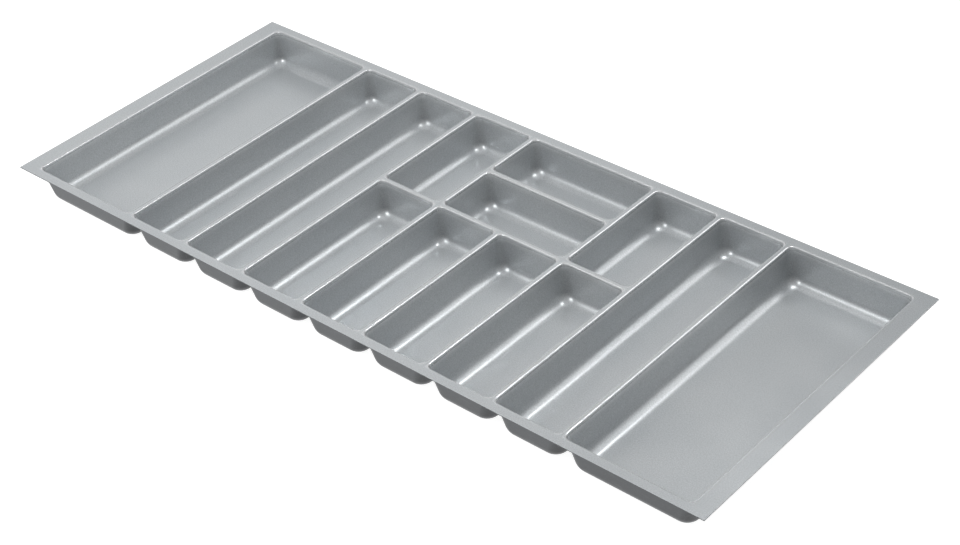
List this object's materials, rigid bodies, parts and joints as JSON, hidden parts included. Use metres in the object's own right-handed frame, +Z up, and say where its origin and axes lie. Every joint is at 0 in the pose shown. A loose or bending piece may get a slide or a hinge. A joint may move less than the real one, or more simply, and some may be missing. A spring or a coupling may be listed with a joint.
{
  "type": "cutlery tray",
  "caption": "Drawer cutlery tray: a flat-rimmed sheet moulding with long, short and crosswise tapered wells, large ones at both ends.",
  "frame": {"origin": "middle of the footprint, on the plane that the wells stand on", "axes": "+X along the tray's length, to the right as seen from the drawer's front; +Y to the back; +Z up"},
  "size_m": [1.108, 0.474, 0.05],
  "materials": {
    "tray_plastic": "satin silver-grey with a fine grain"
  },
  "bodies": {
    "root": {"well_left_large": "tray_plastic", "well_long_1": "tray_plastic", "well_long_2": "tray_plastic", "well_front_1": "tray_plastic", "well_front_2": "tray_plastic", "well_front_3": "tray_plastic", "well_front_4": "tray_plastic", "well_rear_left": "tray_plastic", "well_cross_front": "tray_plastic", "well_cross_back": "tray_plastic", "well_rear_right": "tray_plastic", "well_long_3": "tray_plastic", "well_right_large": "tray_plastic", "rim_front": "tray_plastic", "rim_back": "tray_plastic", "rim_left": "tray_plastic", "rim_right": "tray_plastic", "divider_long_1": "tray_plastic", "divider_long_2": "tray_plastic", "divider_long_3": "tray_plastic", "divider_long_4": "tray_plastic", "divider_long_5": "tray_plastic", "divider_long_6": "tray_plastic", "divider_long_7": "tray_plastic", "divider_long_8": "tray_plastic", "divider_middle_left": "tray_plastic", "divider_middle": "tray_plastic", "divider_middle_right": "tray_plastic", "divider_rear": "tray_plastic"}
  },
  "joints": []
}
